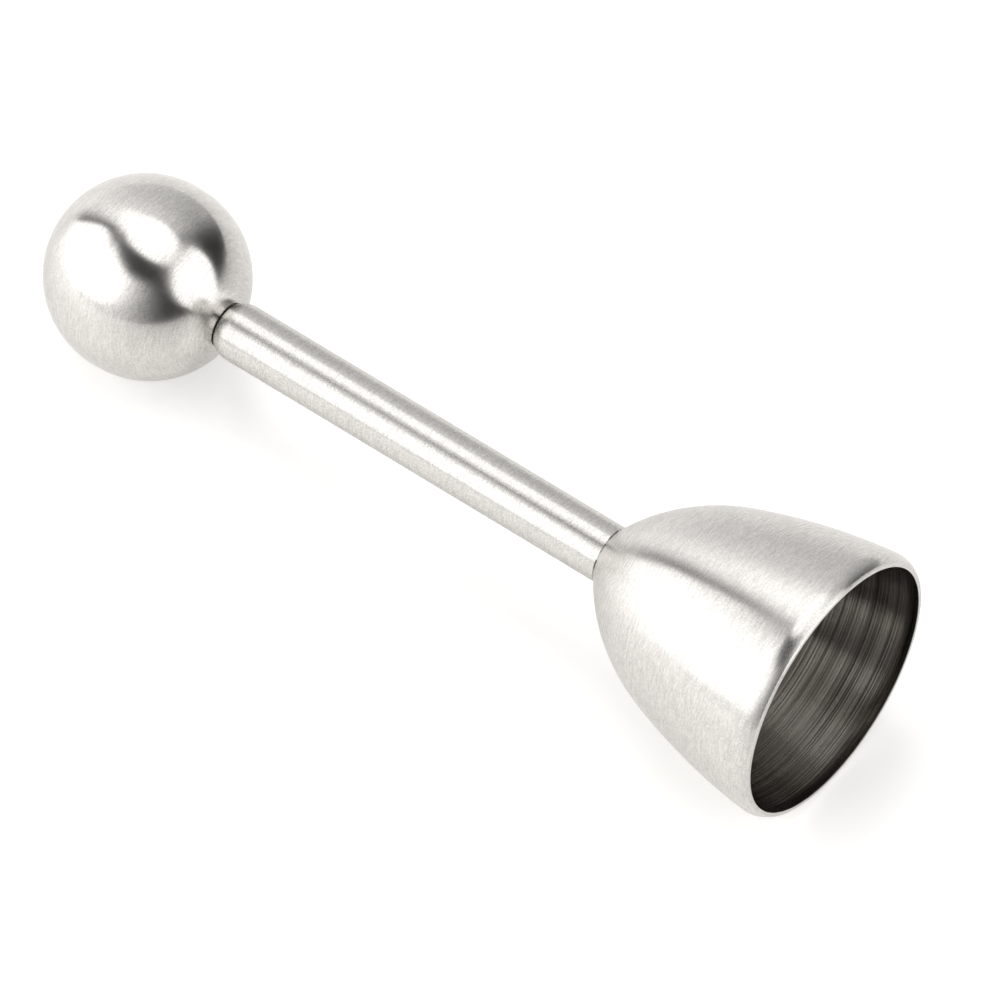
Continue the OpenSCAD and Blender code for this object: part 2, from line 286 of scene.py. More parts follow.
def makeLatheTree():
    # turns an outline about the tool's axis: a grid of one column per step of the turn, its first and
    # last columns welded
    tree = bpy.data.node_groups.new("lathe", "GeometryNodeTree")
    face = tree.interface
    face.new_socket("Outline", in_out="INPUT", socket_type="NodeSocketGeometry")
    face.new_socket("Segments", in_out="INPUT", socket_type="NodeSocketInt")
    face.new_socket("Inside From", in_out="INPUT", socket_type="NodeSocketInt")
    face.new_socket("Outer Material", in_out="INPUT", socket_type="NodeSocketMaterial")
    face.new_socket("Inner Material", in_out="INPUT", socket_type="NodeSocketMaterial")
    face.new_socket("Turned", in_out="OUTPUT", socket_type="NodeSocketGeometry")
    given = addNode(tree, "NodeGroupInput")
    count = addNode(tree, "GeometryNodeAttributeDomainSize", {0: given.outputs["Outline"]},
                    component="MESH")
    columns = addNode(tree, "ShaderNodeMath", {0: given.outputs["Segments"], 1: 1.0}, operation="ADD")
    grid = addNode(tree, "GeometryNodeMeshGrid",
                   {"Vertices X": columns.outputs[0], "Vertices Y": count.outputs["Point Count"]})
    index = addNode(tree, "GeometryNodeInputIndex")
    ratio = addNode(tree, "ShaderNodeMath", {0: index.outputs[0], 1: count.outputs["Point Count"]},
                    operation="DIVIDE")
    column = addNode(tree, "ShaderNodeMath", {0: ratio.outputs[0]}, operation="FLOOR")
    row = addNode(tree, "ShaderNodeMath", {0: index.outputs[0], 1: count.outputs["Point Count"]},
                  operation="FLOORED_MODULO")
    position = addNode(tree, "GeometryNodeInputPosition")
    point = addNode(tree, "GeometryNodeSampleIndex",
                    {0: given.outputs["Outline"], "Value": position.outputs[0], "Index": row.outputs[0]},
                    data_type="FLOAT_VECTOR")
    apart = addNode(tree, "ShaderNodeSeparateXYZ", {0: point.outputs[0]})
    turn = addNode(tree, "ShaderNodeMath", {0: column.outputs[0], 1: given.outputs["Segments"]},
                   operation="DIVIDE")
    angle = addNode(tree, "ShaderNodeMath", {0: turn.outputs[0], 1: 2 * pi}, operation="MULTIPLY")
    cosine = addNode(tree, "ShaderNodeMath", {0: angle.outputs[0]}, operation="COSINE")
    sine = addNode(tree, "ShaderNodeMath", {0: angle.outputs[0]}, operation="SINE")
    x = addNode(tree, "ShaderNodeMath", {0: apart.outputs["X"], 1: cosine.outputs[0]}, operation="MULTIPLY")
    y = addNode(tree, "ShaderNodeMath", {0: apart.outputs["X"], 1: sine.outputs[0]}, operation="MULTIPLY")
    spot = addNode(tree, "ShaderNodeCombineXYZ",
                   {0: x.outputs[0], 1: y.outputs[0], 2: apart.outputs["Z"]})
    # the outline's Y carries its length so far, which becomes V
    uv = addNode(tree, "ShaderNodeCombineXYZ", {0: turn.outputs[0], 1: apart.outputs["Y"]})
    uvOfPoint = addNode(tree, "GeometryNodeFieldOnDomain", {0: uv.outputs[0]},
                        data_type="FLOAT_VECTOR", domain="POINT")
    mapped = addNode(tree, "GeometryNodeStoreNamedAttribute",
                     {"Geometry": grid.outputs["Mesh"], "Name": "turned", "Value": uvOfPoint.outputs[0]},
                     data_type="FLOAT2", domain="CORNER")
    placed = addNode(tree, "GeometryNodeSetPosition",
                     {"Geometry": mapped.outputs[0], "Position": spot.outputs[0]})
    outer = addNode(tree, "GeometryNodeSetMaterial",
                    {"Geometry": placed.outputs[0], "Material": given.outputs["Outer Material"]})
    rowOfPoint = addNode(tree, "GeometryNodeFieldOnDomain", {0: row.outputs[0]},
                         data_type="FLOAT", domain="POINT")
    isInside = addNode(tree, "FunctionNodeCompare",
                       {0: rowOfPoint.outputs[0], 1: given.outputs["Inside From"]},
                       operation="GREATER_THAN")
    inner = addNode(tree, "GeometryNodeSetMaterial",
                    {"Geometry": outer.outputs[0], "Selection": isInside.outputs[0],
                     "Material": given.outputs["Inner Material"]})
    welded = addNode(tree, "GeometryNodeMergeByDistance",
                     {"Geometry": inner.outputs[0], "Distance": sizes["weld"]})
    real = addNode(tree, "GeometryNodeRealizeInstances", {0: welded.outputs[0]})
    addNode(tree, "NodeGroupOutput", {0: real.outputs[0]})
    return tree


latheTree = makeLatheTree()


def setInputs(modifier, values):
    for item in modifier.node_group.interface.items_tree:
        if item.item_type == "SOCKET" and item.in_out == "INPUT" and item.name in values:
            modifier[item.identifier] = values[item.name]


def finished(holder, name, body, slotName, *nodes):
    # turn a node tree's result into a plain mesh at its place, attach it to its body and hide the CAD nodes
    # it stands for
    bpy.context.view_layer.update()
    result = holder.evaluated_get(bpy.context.evaluated_depsgraph_get())
    mesh = bpy.data.meshes.new_from_object(result)
    bpy.data.objects.remove(holder)
    mesh.transform(toolPlace)
    mesh.name = name
    piece = bpy.data.objects.new(name, mesh)
    bpy.context.scene.collection.objects.link(piece)
    mesh.shade_smooth()
    mesh.set_sharp_from_angle(angle=radians(sizes["sharpAngle"]))
    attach(piece, body)
    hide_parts(*nodes)
    print(name, len(mesh.polygons), "faces")
    return piece


def turnPiece(name, outline, body, slotName, nodes, outer, inner=None, insideFrom=None, start=0.0,
              segments=sizes["segments"]):
    # outline: (radius, height) in mm, the metal on its left, closed unless it ends on the axis;
    # insideFrom is the point from which the inner material starts, start the length at the first point
    lengths = [start]
    for a, b in zip(outline, outline[1:]):
        lengths.append(lengths[-1] + hypot(b[0] - a[0], b[1] - a[1]))
    mesh = bpy.data.meshes.new(name + "Outline")
    mesh.from_pydata([(r, length / 100, z) for (r, z), length in zip(outline, lengths)],
                     [(i, i + 1) for i in range(len(outline) - 1)], [])
    holder = bpy.data.objects.new(name + "Outline", mesh)
    bpy.context.scene.collection.objects.link(holder)
    lathe = holder.modifiers.new("lathe", "NODES")
    lathe.node_group = latheTree
    setInputs(lathe, {"Segments": segments, "Outer Material": outer,
                      "Inner Material": inner or outer,
                      "Inside From": len(outline) if insideFrom is None else insideFrom})
    finished(holder, name, body, slotName, *nodes)


cup = {
    "width": 35.0, "length": 32.8, "sheet": 0.5,
    "crownRadius": 27.0, "sideRadius": 79.0, "sideLean": 6.0,     # the lean in degrees
    "lipRadius": 2.8, "lipTurn": 38.0, "rimChamfer": 0.12,        # the turn in degrees
    "seatWidth": 7.4, "holeWidth": 4.0,
}


def cupOutline(c):
    # three arcs, each tangent to the next: lip, side and crown
    lean, lip = radians(c["sideLean"]), c["lipRadius"]
    lipCentre = (c["width"] / 2 - lip, lip * sin(radians(c["lipTurn"])))
    sideCentre = (lipCentre[0] - (c["sideRadius"] - lip) * cos(lean),
                  lipCentre[1] - (c["sideRadius"] - lip) * sin(lean))
    seat = (c["seatWidth"] / 2, c["length"])
    reach = hypot(seat[0] - sideCentre[0], seat[1] - sideCentre[1])
    gap = c["sideRadius"] - c["crownRadius"]
    bearing = atan2(seat[1] - sideCentre[1], seat[0] - sideCentre[0])
    haunch = bearing - acos((reach ** 2 + gap ** 2 - c["crownRadius"] ** 2) / (2 * reach * gap))
    crownCentre = (sideCentre[0] + gap * cos(haunch), sideCentre[1] + gap * sin(haunch))
    crownStart = atan2(seat[1] - crownCentre[1], seat[0] - crownCentre[0])
    top, inner = c["length"] - c["sheet"], c["sheet"]
    innerStart = asin((top - crownCentre[1]) / (c["crownRadius"] - inner))

    def lipAngle(radius, height):
        return asin((height - lipCentre[1]) / radius)

    outside = arc(lipCentre, lip, lipAngle(lip, c["rimChamfer"]), lean) \
        + arc(sideCentre, c["sideRadius"], lean, haunch, True) \
        + arc(crownCentre, c["crownRadius"], haunch, crownStart, True)
    inside = arc(crownCentre, c["crownRadius"] - inner, innerStart, haunch) \
        + arc(sideCentre, c["sideRadius"] - inner, haunch, lean, True) \
        + arc(lipCentre, lip - inner, lean, lipAngle(lip - inner, c["rimChamfer"]), True)
    rimOut = lipCentre[0] + lip * cos(lipAngle(lip, 0)) - c["rimChamfer"]
    rimIn = lipCentre[0] + (lip - inner) * cos(lipAngle(lip - inner, 0)) + c["rimChamfer"]
    hole = c["holeWidth"] / 2
    outline = [(rimIn, 0), (rimOut, 0)] + outside + [(hole, c["length"]), (hole, top)]
    insideFrom = len(outline)
    return outline + inside + [(rimIn, 0)], insideFrom, inside[0][0]


cupLine, cupInsideFrom, cupFlatRadius = cupOutline(cup)
turnPiece("cupBell", cupLine, "holder", "cup_steel", ["cup"], satinCup, cupInsidePaintedShade, cupInsideFrom)

tube = {
    "width": 7.4, "wall": 0.6, "length": 58.5, "noseWidth": 5.8, "noseRadius": 2.9,
    "endChamfer": 0.08,        # broken edge of the cut end, where it stands on the cup
    "step": 1.0,               # between the rings of its mesh
    "boreStep": 6.0,
}


def tubeOutline(t):
    # a plain end on the cup, and a nose spun in over the bush
    nose = cup["length"] + t["length"]
    bend = acos(1 - (t["width"] - t["noseWidth"]) / 2 / t["noseRadius"])
    shoulder = nose - t["noseRadius"] * sin(bend)
    centre = (t["width"] / 2 - t["noseRadius"], shoulder)
    inner = t["noseRadius"] - t["wall"]
    lip = asin((nose - shoulder) / inner)
    outer, bore, foot = t["width"] / 2, t["width"] / 2 - t["wall"], cup["length"]
    outline = [(bore, foot), (outer - t["endChamfer"], foot)]
    outline += straight((outer, foot + t["endChamfer"]), (outer, shoulder), t["step"])
    outline += arc(centre, t["noseRadius"], 0, bend, True)
    insideFrom = len(outline)
    outline += arc(centre, inner, lip, 0)
    outline += straight((bore, shoulder), (bore, foot), t["boreStep"], True)
    return outline, insideFrom, nose, shoulder


tubeLine, tubeInsideFrom, noseHeight, shoulderHeight = tubeOutline(tube)
turnPiece("tubeShaft", tubeLine, "holder", "tube_steel", ["tube"], satinTube, turnedSteel,
          tubeInsideFrom)

# the ball: two pressed halves, each with a short straight skirt up to the weld
ball = {
    "width": 25.0, "skirt": 0.3, "wall": 0.8, "gap": 0.2,
    "bossWidth": 6.0, "bossLength": 13.0, "bossFit": 0.02, "bossChamfer": 0.15,
    "rearStart": 2.0,          # where the rear half's lines start, so that they aren't the front's again
}
ballRadius, bossRadius = ball["width"] / 2, ball["bossWidth"] / 2
holeRadius = bossRadius + ball["bossFit"]
shellRadius = ballRadius - ball["wall"]
bossFace = noseHeight + ball["gap"]
frontCentre = (0, bossFace + sqrt(ballRadius ** 2 - bossRadius ** 2))
weldPlane = frontCentre[1] + ball["skirt"]
rearCentre = (0, weldPlane + ball["skirt"])
holeOuter, holeInner = -acos(holeRadius / ballRadius), -acos(holeRadius / shellRadius)
frontLine = arc(frontCentre, ballRadius, holeOuter, 0)
frontLine += [(ballRadius, weldPlane), (shellRadius, weldPlane)]
frontInside = len(frontLine)
frontLine += arc(frontCentre, shellRadius, 0, holeInner)
frontLine.append(frontLine[0])
rearLine = [(shellRadius, weldPlane), (ballRadius, weldPlane)] + arc(rearCentre, ballRadius, 0, pi / 2)
rearLine[-1] = (0, rearLine[-1][1])
rearInside = len(rearLine)
rearLine += arc(rearCentre, shellRadius, pi / 2, 0) + [(shellRadius, weldPlane)]
rearLine[rearInside] = (0, rearLine[rearInside][1])
turnPiece("ballFrontShell", frontLine, "plunger", "ball_steel", ["ball_front"], satinBall,
          turnedSteel, frontInside)
turnPiece("ballRearShell", rearLine, "plunger", "ball_steel", ["ball_rear"], satinBall,
          turnedSteel, rearInside, start=ball["rearStart"])
print("weld plane at", round(weldPlane, 4), "mm; the joint says", sizes["mouthToBall"])

rod = {
    "width": 3.0, "grip": 9.0, "hammerGrip": 8.0, "endGap": 0.03, "endChamfer": 0.3, "fit": 0.02,
    "segments": 96, "step": 1.0,
}
hammer = {"start": 41.83, "length": 14.0}
hammerTop = hammer["start"] + hammer["length"]
rodRadius = rod["width"] / 2
rodHole = rodRadius + rod["fit"]
# the boss is welded into the front half; the rod screws into it
bossTop, bevel = bossFace + ball["bossLength"], ball["bossChamfer"]
bossLine = [(rodHole, bossFace), (bossRadius, bossFace)] \
    + [(bossRadius, bossTop - bevel), (bossRadius - bevel, bossTop), (0, bossTop),
       (0, bossFace + rod["grip"]), (rodHole, bossFace + rod["grip"]), (rodHole, bossFace)]
turnPiece("ballBoss", bossLine, "plunger", "turned_steel", ["ball_boss"], turnedSteel,
          segments=rod["segments"])

# the pull rod, ground so that it runs smoothly in its bush
rodStart, rodEnd = hammerTop - rod["hammerGrip"] + rod["endGap"], bossFace + rod["grip"] - rod["endGap"]
rodLine = [(0, rodStart), (rodRadius - rod["endChamfer"], rodStart)] \
    + straight((rodRadius, rodStart + rod["endChamfer"]), (rodRadius, rodEnd - rod["endChamfer"]),
               rod["step"]) \
    + [(rodRadius - rod["endChamfer"], rodEnd), (0, rodEnd)]
turnPiece("pullRod", rodLine, "plunger", "rod_steel", ["rod"], groundSteel, segments=rod["segments"])

# the guide bush in the tube's nose
bush = {
    "length": 8.0, "cone": 1.2, "coneWidth": 4.2, "fit": 0.02, "runFit": 0.04, "chamfer": 0.12,
    "segments": 96,
}
bushRadius = tube["width"] / 2 - tube["wall"] - bush["fit"]
bushBore, bushFoot = rodRadius + bush["runFit"], shoulderHeight - bush["length"]
bushTop, bushEdge = shoulderHeight + bush["cone"], bush["chamfer"]
bushLine = [(bushBore, bushFoot), (bushRadius - bushEdge, bushFoot), (bushRadius, bushFoot + bushEdge),
            (bushRadius, shoulderHeight), (bush["coneWidth"] / 2, bushTop),
            (bushBore + bushEdge, bushTop), (bushBore, bushTop - bushEdge), (bushBore, bushFoot)]
turnPiece("guideBush", bushLine, "holder", "bush_brass", ["guide_bush"], bushBrass,
          segments=bush["segments"])

# the spring, with a washer at each end
spring = {
    "wire": 0.6, "turns": 13, "play": 0.15, "endGap": 0.03, "washer": 0.5, "washerPlay": 0.08,
    "washerChamfer": 0.06, "stroke": 15.0, "steps": 40, "sides": 16,
}
springRadius = tube["width"] / 2 - tube["wall"] - spring["play"]
lowerWasher = hammerTop + spring["endGap"]
springFoot, springTop = lowerWasher + spring["washer"], bushFoot - spring["washer"]


def ringLine(inner, outer, foot, height, chamfer):
    # a flat ring with its outer edges broken
    top = foot + height
    return [(inner, foot), (outer - chamfer, foot), (outer, foot + chamfer), (outer, top - chamfer),
            (outer - chamfer, top), (inner, top), (inner, foot)]


for name, body, foot, node in (("lowerSpringWasher", "spring_seat", lowerWasher, "lower_spring_washer"),
                               ("upperSpringWasher", "holder", springTop, "upper_spring_washer")):
    line = ringLine(rodRadius + spring["washerPlay"], springRadius, foot, spring["washer"],
                    spring["washerChamfer"])
    turnPiece(name, line, body, "fastener_steel", [node], fastenerSteel, segments=rod["segments"])


def makeCoilTree():
    # a round wire wound at a steady rise, with a closed turn at each end
    tree = bpy.data.node_groups.new("coilSpring", "GeometryNodeTree")
    face = tree.interface
    for name, kind in (("Radius", "Float"), ("Wire Radius", "Float"), ("Foot", "Float"), ("Turns", "Int"),
                       ("Closed Rise", "Float"), ("Open Rise", "Float"), ("Steps", "Int"), ("Sides", "Int"),
                       ("Wire Material", "Material")):
        face.new_socket(name, in_out="INPUT", socket_type="NodeSocket" + kind)
    face.new_socket("Coil", in_out="OUTPUT", socket_type="NodeSocketGeometry")
    given = addNode(tree, "NodeGroupInput")
    steps = addNode(tree, "ShaderNodeMath", {0: given.outputs["Turns"], 1: given.outputs["Steps"]},
                    operation="MULTIPLY")
    points = addNode(tree, "ShaderNodeMath", {0: steps.outputs[0], 1: 1.0}, operation="ADD")
    line = addNode(tree, "GeometryNodeMeshLine", {"Count": points.outputs[0]})
    index = addNode(tree, "GeometryNodeInputIndex")
    turn = addNode(tree, "ShaderNodeMath", {0: index.outputs[0], 1: given.outputs["Steps"]},
                   operation="DIVIDE")
    angle = addNode(tree, "ShaderNodeMath", {0: turn.outputs[0], 1: 2 * pi}, operation="MULTIPLY")
    cosine = addNode(tree, "ShaderNodeMath", {0: angle.outputs[0]}, operation="COSINE")
    sine = addNode(tree, "ShaderNodeMath", {0: angle.outputs[0]}, operation="SINE")
    x, y = [addNode(tree, "ShaderNodeMath", {0: given.outputs["Radius"], 1: part.outputs[0]},
                    operation="MULTIPLY") for part in (cosine, sine)]
    # the first and the last turn lie closed, the others share the rest of the length
    lastOpen = addNode(tree, "ShaderNodeMath", {0: given.outputs["Turns"], 1: 1.0}, operation="SUBTRACT")
    first = addNode(tree, "ShaderNodeMath", {0: turn.outputs[0], 1: 1.0}, operation="MINIMUM")
    last = addNode(tree, "ShaderNodeMath", {0: turn.outputs[0], 1: lastOpen.outputs[0]},
                   operation="SUBTRACT")
    last = addNode(tree, "ShaderNodeMath", {0: last.outputs[0], 1: 0.0}, operation="MAXIMUM")
    closed = addNode(tree, "ShaderNodeMath", {0: first.outputs[0], 1: last.outputs[0]}, operation="ADD")
    middle = addNode(tree, "ShaderNodeMath", {0: turn.outputs[0], 1: lastOpen.outputs[0]},
                     operation="MINIMUM")
    middle = addNode(tree, "ShaderNodeMath", {0: middle.outputs[0], 1: 1.0}, operation="SUBTRACT")
    middle = addNode(tree, "ShaderNodeMath", {0: middle.outputs[0], 1: 0.0}, operation="MAXIMUM")
    height = addNode(tree, "ShaderNodeMath",
                     {0: closed.outputs[0], 1: given.outputs["Closed Rise"], 2: given.outputs["Foot"]},
                     operation="MULTIPLY_ADD")
    height = addNode(tree, "ShaderNodeMath",
                     {0: middle.outputs[0], 1: given.outputs["Open Rise"], 2: height.outputs[0]},
                     operation="MULTIPLY_ADD")
    spot = addNode(tree, "ShaderNodeCombineXYZ", {0: x.outputs[0], 1: y.outputs[0], 2: height.outputs[0]})
    coiled = addNode(tree, "GeometryNodeSetPosition",
                     {"Geometry": line.outputs[0], "Position": spot.outputs[0]})
    path = addNode(tree, "GeometryNodeMeshToCurve", {0: coiled.outputs[0]})
    section = addNode(tree, "GeometryNodeCurvePrimitiveCircle",
                      {"Resolution": given.outputs["Sides"], "Radius": given.outputs["Wire Radius"]})
    wire = addNode(tree, "GeometryNodeCurveToMesh",
                   {"Curve": path.outputs[0], "Profile Curve": section.outputs[0], "Fill Caps": True})
    real = addNode(tree, "GeometryNodeRealizeInstances", {0: wire.outputs[0]})
    done = addNode(tree, "GeometryNodeSetMaterial",
                   {"Geometry": real.outputs[0], "Material": given.outputs["Wire Material"]})
    addNode(tree, "NodeGroupOutput", {0: done.outputs[0]})
    return tree


closedRise = spring["wire"] + spring["endGap"]
openRise = (springTop - springFoot - spring["wire"] - 2 * spring["endGap"] - 2 * closedRise) \
    / (spring["turns"] - 2)
springHolder = bpy.data.objects.new("springPath", bpy.data.meshes.new("springPath"))
bpy.context.scene.collection.objects.link(springHolder)
coil = springHolder.modifiers.new("coilSpring", "NODES")
coil.node_group = makeCoilTree()
setInputs(coil, {"Radius": springRadius - spring["wire"] / 2, "Wire Radius": spring["wire"] / 2,
                 "Foot": springFoot + spring["wire"] / 2 + spring["endGap"], "Turns": spring["turns"],
                 "Closed Rise": closedRise, "Open Rise": openRise, "Steps": spring["steps"],
                 "Sides": spring["sides"], "Wire Material": springWire})
springPiece = finished(springHolder, "hammerSpring", "holder", "spring_steel", "spring")
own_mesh(springPiece)

# the fastening in the crown: seal, washer and socket screw
crown = {
    "seal": 0.4, "washer": 0.6, "play": 0.08, "screwWidth": 3.0, "screwLength": 8.0, "headWidth": 5.6,
    "headHeight": 2.0, "socketFlats": 2.0, "socketDepth": 1.2, "socketCone": 0.35, "edge": 0.08,
    "domeSteps": 8, "tipChamfer": 3, "segments": 96,    # the chamfer as a multiple of edge
}
innerTop = cup["length"] - cup["sheet"]
stackRadius = cupFlatRadius - crown["play"]
sealFoot = innerTop - crown["seal"]
washerFoot = sealFoot - crown["washer"]
headFoot = washerFoot - crown["headHeight"]
sealLine = ringLine(cup["holeWidth"] / 2, stackRadius, sealFoot, crown["seal"], crown["edge"])
turnPiece("crownSeal", sealLine, "holder", "seal_rubber", ["crown_seal"], blackSeal,
          segments=crown["segments"])
washerLine = ringLine(crown["screwWidth"] / 2 + crown["play"], stackRadius, washerFoot, crown["washer"],
                      crown["edge"])
turnPiece("crownWasher", washerLine, "holder", "fastener_steel", ["crown_washer"], fastenerSteel,
          segments=crown["segments"])


def socketScrew(c):
    # rings of points from the socket's floor, over the head and down the shank
    count, headRadius, shank = c["segments"], c["headWidth"] / 2, c["screwWidth"] / 2
    dome, flats = c["headHeight"] / 2, c["socketFlats"] / 2

    def hexagon(grow):
        return [(flats + grow) / cos((2 * pi * i / count) % (pi / 3) - pi / 6) for i in range(count)]

    def circle(radius):
        return [radius] * count

    rings = [(hexagon(0), headFoot + c["socketDepth"]), (hexagon(0), headFoot + c["edge"]),
             (hexagon(c["edge"]), headFoot)]
    for i in range(c["domeSteps"] + 1):
        turn = pi / 2 * i / c["domeSteps"]
        rings.append((circle(headRadius - dome + dome * sin(turn)), headFoot + dome - dome * cos(turn)))
    tip, bevel = washerFoot + c["screwLength"], c["edge"] * c["tipChamfer"]
    rings += [(circle(headRadius), washerFoot - c["edge"]), (circle(headRadius - c["edge"]), washerFoot),
              (circle(shank), washerFoot), (circle(shank), tip - bevel), (circle(shank - bevel), tip)]
    points, faces = [], []
    for radii, height in rings:
        points += [(r * cos(2 * pi * i / count), r * sin(2 * pi * i / count), height)
                   for i, r in enumerate(radii)]
    for k in range(len(rings) - 1):
        for i in range(count):
            j = (i + 1) % count
            faces.append((k * count + i, k * count + j, (k + 1) * count + j, (k + 1) * count + i))
    points += [(0, 0, headFoot + c["socketDepth"] + c["socketCone"]), (0, 0, tip)]
    last = (len(rings) - 1) * count
    for i in range(count):
        j = (i + 1) % count
        faces.append((len(points) - 2, j, i))
        faces.append((len(points) - 1, last + i, last + j))
    return points, faces


screwPoints, screwFaces = socketScrew(crown)
screwMesh = bpy.data.meshes.new("screwBlank")
screwMesh.from_pydata(screwPoints, [], screwFaces)
screwMesh.materials.append(fastenerSteel)
screwBlank = bpy.data.objects.new("screwBlank", screwMesh)
bpy.context.scene.collection.objects.link(screwBlank)
finished(screwBlank, "crownScrew", "holder", "fastener_steel", "crown_screw")

# the pieces that keep their own shape
for name, material in (("anvil", turnedSteel), ("hammer", turnedSteel), ("hammer_pin", fastenerSteel)):
    kept = frame["nodes"][name]
    kept.data.materials.clear()
    kept.data.materials.append(material)
print("inner pieces made")

view = {
    "lens": 324.0, "sensor": 36.0, "clipEnd": 50,      # the clip in m, the rest in mm
    "from": (392.52, -489.90, 882.93),
    "towards": (11.37, -3.93, 19.84),
}
cameraData = bpy.data.cameras.new("camera")
cameraData.lens, cameraData.sensor_width = view["lens"], view["sensor"]
cameraData.clip_end = view["clipEnd"]
camera = bpy.data.objects.new("camera", cameraData)
camera.location = Vector(view["from"]) * mm
sight = Vector(view["towards"]) - Vector(view["from"])
camera.rotation_euler = sight.to_track_quat("-Z", "Y").to_euler()
bpy.context.scene.collection.objects.link(camera)
bpy.context.scene.camera = camera

studio = {
    "floorSize": 8.0, "floorColour": "EFEEEC", "floorRoughness": 0.25, "floorSheen": 0.9,
    "toolHeight": 0.012,       # m from the floor to the middle of what mirrors the softboxes
    # m from the tool over which the softboxes' light on the board gives way to the light added to it
    "reach": (0.3, 0.9),
    "whiteToCamera": (0.38, 1.0),   # what is added as the camera sees the board, near and far
    "whiteToSteel": (0.22, 0.6),    # and as the steel mirrors it
    "plainRoom": 0.24,         # what the room beyond the softboxes adds to matt surfaces
    # name: azimuth and elevation it faces the tool from, distance, radiance, and its outline as seen
    # from the tool, to the right and up in parts of that distance
    "softboxes": {
        "leftSoftbox": (-134, 0, 0.72, 2.0, (
            (-1.05, 1.62), (-0.50, 1.56), (0.00, 1.44), (0.40, 1.45), (0.71, 1.42), (0.90, 1.27),
            (0.99, 1.06), (1.00, 0.85), (1.07, 0.55), (1.16, 0.20), (1.28, -0.01), (0.00, -0.01),
            (-0.50, 0.14), (-0.85, 0.38), (-1.02, 0.70), (-1.15, 1.05))),
        "rightSoftbox": (14.5, 0, 0.80, 1.85, (
            (-0.22, -0.01), (-0.39, 0.20), (-0.54, 0.42), (-0.65, 0.68), (-0.71, 0.97), (-0.69, 1.20),
            (-0.52, 1.35), (-0.10, 1.41), (0.28, 1.42), (0.45, 1.34), (0.57, 1.16), (0.66, 0.92),
            (0.68, 0.70), (0.61, 0.36), (0.43, 0.12), (0.26, -0.01))),
        "topSoftbox": (90, 90, 0.84, 1.8, (
            (-1.05, -0.38), (-0.85, -0.22), (-0.70, -0.07), (-0.55, 0.06), (-0.40, 0.16), (-0.20, 0.21),
            (0.00, 0.225), (0.20, 0.21), (0.36, 0.15), (0.47, 0.06), (0.515, -0.06), (0.51, -0.20),
            (0.46, -0.36), (0.36, -0.50), (0.20, -0.58), (0.00, -0.61), (-0.20, -0.61), (-0.50, -0.58),
            (-0.80, -0.54), (-1.00, -0.49))),
    },
    # what the steel mirrors between the softboxes, as azimuth and brightness: the sweep's far side, and
    # the light that the left softbox spills on the near one
    "peak": 1.5,               # the brightest of them
    "sweep": ((62, 0.02), (74, 0.07), (86, 0.5), (92, 0.57), (105, 0.64), (120, 0.78), (135, 0.86),
              (150, 1.05), (157, 1.2), (162, 1.2), (166.5, 1.0), (170.5, 0.6), (173.5, 0.2), (175, 0.02)),
    "spill": ((-162, 0.02), (-150, 1.25), (-120, 1.5), (-98, 1.45), (-88, 1.35), (-75, 1.05),
              (-60, 0.52), (-45, 0.18), (-33, 0.02)),
    # heights below are the sine of the elevation
    # degrees that the sweep leans by over the height of the room: the first of them up to the first of
    # these azimuths, the second from the second on
    "leanAzimuths": (80, 160),
    "lean": (22, -10),
    "leanHeight": 0.26,        # where the sweep stands as given above
    "haze": 0.18,              # light on the sweep's upper part, under the top softbox
    "hazeHeights": (0.45, 0.8),
    "hazeAzimuth": 81,         # the middle of the side that it lies on
    "hazeEdge": 0.02,          # how softly it ends there
    "spillLow": (0.2, 0.6, 0.75),   # heights between which it grows, and its share at the lower one
    "spillHigh": (0.84, 0.68),      # heights at which it has gone, and starts to go
}


def direction(azimuth, elevation):
    a, e = radians(azimuth), radians(elevation)
    return Vector((cos(a) * cos(e), sin(a) * cos(e), sin(e)))


def softboxFront(name, radiance):
    # white cloth lit from behind; its back stays dark
    material = bpy.data.materials.new(name)
    material.use_nodes = True
    tree = material.node_tree
    tree.nodes.clear()
    faces = addNode(tree, "ShaderNodeNewGeometry")
    bright = addNode(tree, "ShaderNodeMath", {0: faces.outputs["Backfacing"], 1: -radiance, 2: radiance},
                     operation="MULTIPLY_ADD")
    cloth = addNode(tree, "ShaderNodeEmission", {"Strength": bright.outputs[0]})
    addNode(tree, "ShaderNodeOutputMaterial", {"Surface": cloth.outputs[0]})
    return material


# each front lies in a plane that faces the tool, and its outline sets what the steel mirrors
for name, (azimuth, elevation, distance, radiance, outline) in studio["softboxes"].items():
    towards = direction(azimuth, elevation)
    rightward = direction(azimuth - 90, 0)
    upward = rightward.cross(towards)
    middle = towards * distance + Vector((0, 0, studio["toolHeight"]))
    clothMesh = bpy.data.meshes.new(name)
    clothMesh.from_pydata([middle + (rightward * u + upward * v) * distance for u, v in outline], [],
                          [tuple(range(len(outline)))])
    if clothMesh.polygons[0].normal.dot(towards) > 0:
        clothMesh.flip_normals()
    clothMesh.materials.append(softboxFront(name + "Cloth", radiance))
    softbox = bpy.data.objects.new(name, clothMesh)
    softbox.visible_camera = False
    bpy.context.scene.collection.objects.link(softbox)

floorMesh = bpy.data.meshes.new("floor")
half = studio["floorSize"] / 2
floorMesh.from_pydata([(-half, -half, 0), (half, -half, 0), (half, half, 0), (-half, half, 0)], [],
                      [(0, 1, 2, 3)])
floor = bpy.data.objects.new("floor", floorMesh)
bpy.context.scene.collection.objects.link(floor)
